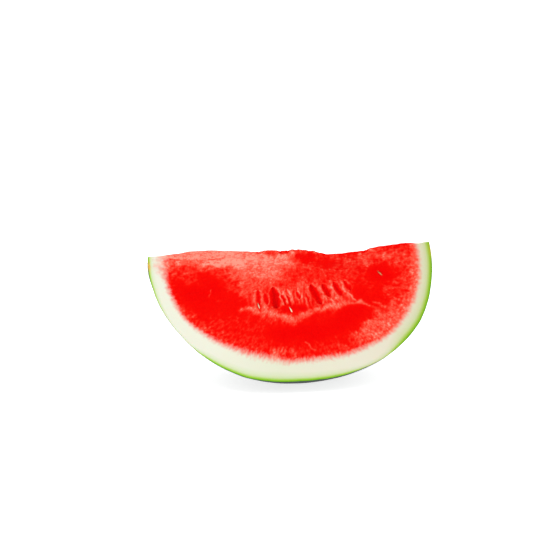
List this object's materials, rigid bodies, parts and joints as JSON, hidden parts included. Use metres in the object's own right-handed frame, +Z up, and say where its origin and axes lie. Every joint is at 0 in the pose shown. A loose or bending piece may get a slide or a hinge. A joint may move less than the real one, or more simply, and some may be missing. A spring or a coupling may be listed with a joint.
{
  "type": "watermelon wedge",
  "caption": "Hand-cut wedge of a small dark-skinned seedless watermelon, standing on its rind with the cut ridge on top.",
  "frame": {"origin": "on the ground under the middle of the wedge: the bottom centre of its bounding box", "axes": "+Z up, X along the cut ridge (+X towards the deeper end), -Y towards the front cut face"},
  "size_m": [0.2388, 0.0914, 0.1166],
  "materials": {
    "melon_flesh": "satin",
    "seed_coat": "satin"
  },
  "bodies": {
    "root": {"wedge": "melon_flesh", "seed_front_left": "seed_coat", "seed_front_middle": "seed_coat", "seed_front_right": "seed_coat", "seed_back_left": "seed_coat", "seed_back_right": "seed_coat"}
  },
  "joints": []
}
